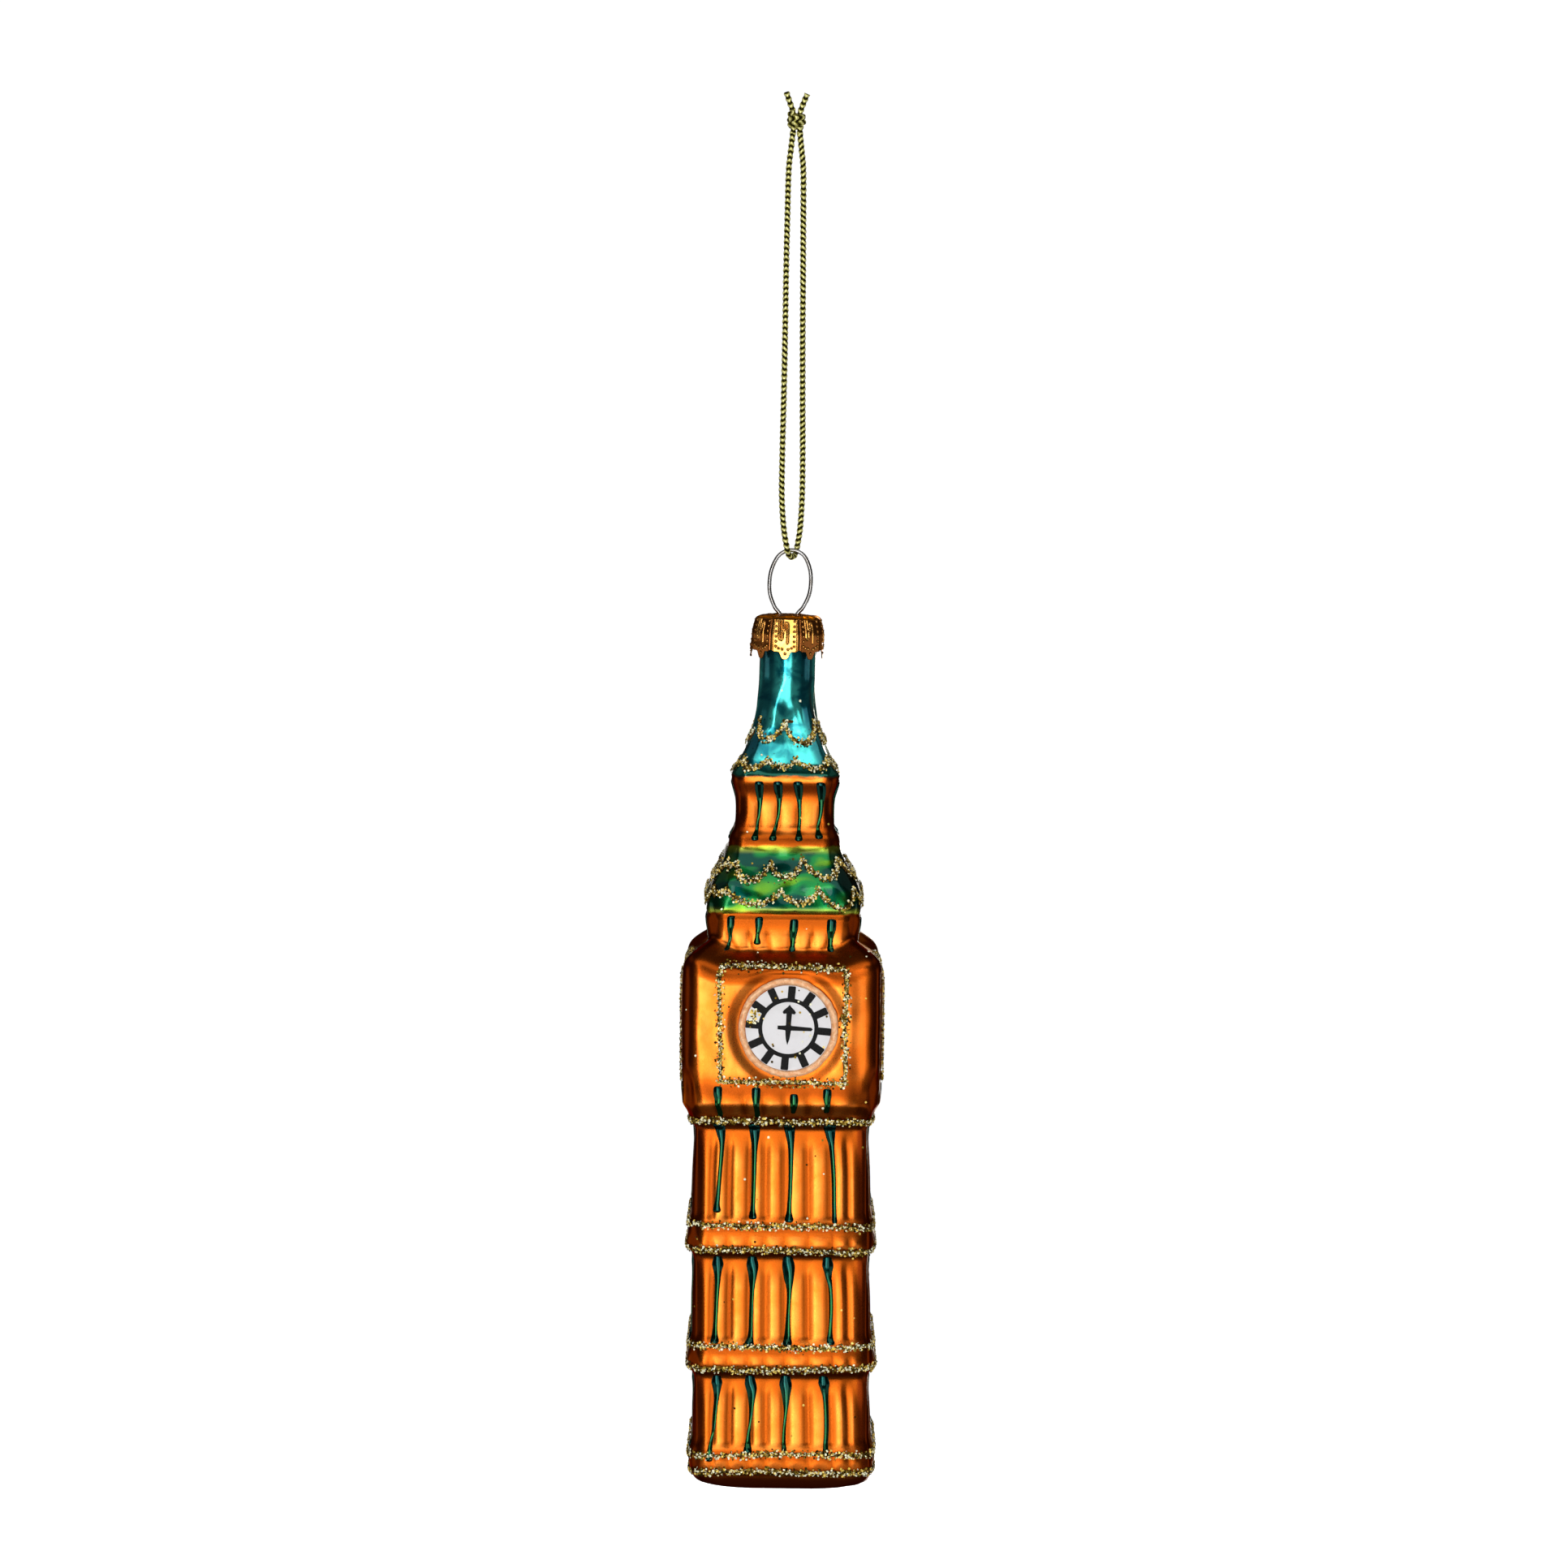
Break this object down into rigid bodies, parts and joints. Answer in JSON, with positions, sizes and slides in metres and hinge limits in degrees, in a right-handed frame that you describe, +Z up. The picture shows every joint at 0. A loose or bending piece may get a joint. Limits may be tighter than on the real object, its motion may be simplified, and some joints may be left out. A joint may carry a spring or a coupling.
{
  "type": "hanging glass ornament",
  "caption": "Hanging blown-glass clock tower ornament with a stamped metal cap, sprung wire hanger and cord loop.",
  "frame": {"origin": "the hang point, inside the top of the cord loop just under its knot", "axes": "+Z up along the hanging cord, the front dial faces -Y, +X to the right as the front is seen"},
  "size_m": [0.0351, 0.0352, 0.2304],
  "materials": {
    "lacquered_glass": "silvered inside, satin translucent orange lacquer outside, glossy green on the roofs",
    "cap_metal": "bright stamped foil",
    "hanger_steel": "bright drawn wire",
    "cord_thread": "braided metallic yarn",
    "dial_paper": "glossy varnished print",
    "copper_paint": "brushed metallic paint",
    "gold_glitter": "coarse glitter in clear glue"
  },
  "bodies": {
    "cord": {"hanging_cord": "cord_thread", "cord_knot": "cord_thread"},
    "hanger": {"hanger_wire": "hanger_steel"},
    "cap": {"cap": "cap_metal"},
    "glass": {"glass_body": "lacquered_glass", "dial_front": "dial_paper", "dial_right": "dial_paper", "dial_back": "dial_paper", "dial_left": "dial_paper", "dial_rim_front": "copper_paint", "dial_rim_right": "copper_paint", "dial_rim_back": "copper_paint", "dial_rim_left": "copper_paint", "glitter_frame_front": "gold_glitter", "glitter_frame_right": "gold_glitter", "glitter_frame_back": "gold_glitter", "glitter_frame_left": "gold_glitter", "glitter_band_housing_foot": "gold_glitter", "glitter_band_upper_shaft": "gold_glitter", "glitter_band_upper_course": "gold_glitter", "glitter_band_middle_shaft": "gold_glitter", "glitter_band_middle_course": "gold_glitter", "glitter_band_lower_shaft": "gold_glitter", "glitter_band_base": "gold_glitter", "glitter_swag_spire_upper": "gold_glitter", "glitter_swag_spire_lower": "gold_glitter", "glitter_swag_roof_upper": "gold_glitter", "glitter_swag_roof_lower": "gold_glitter"}
  },
  "joints": [
    {"name": "ornament_swing", "type": "hinge", "parent": "cord", "child": "hanger", "pos_m": [0, 0, -0.0673], "axis": [1, 0, 0], "range_deg": [-75, 75]},
    {"name": "cap_rock", "type": "hinge", "parent": "hanger", "child": "cap", "pos_m": [-0.00043, 0, -0.07817], "axis": [1, 0, 0], "range_deg": [-5, 5]},
    {"name": "glass_pull_off", "type": "slide", "parent": "cap", "child": "glass", "axis": [0, 0, 1], "range_m": [-0.022, 0]}
  ]
}
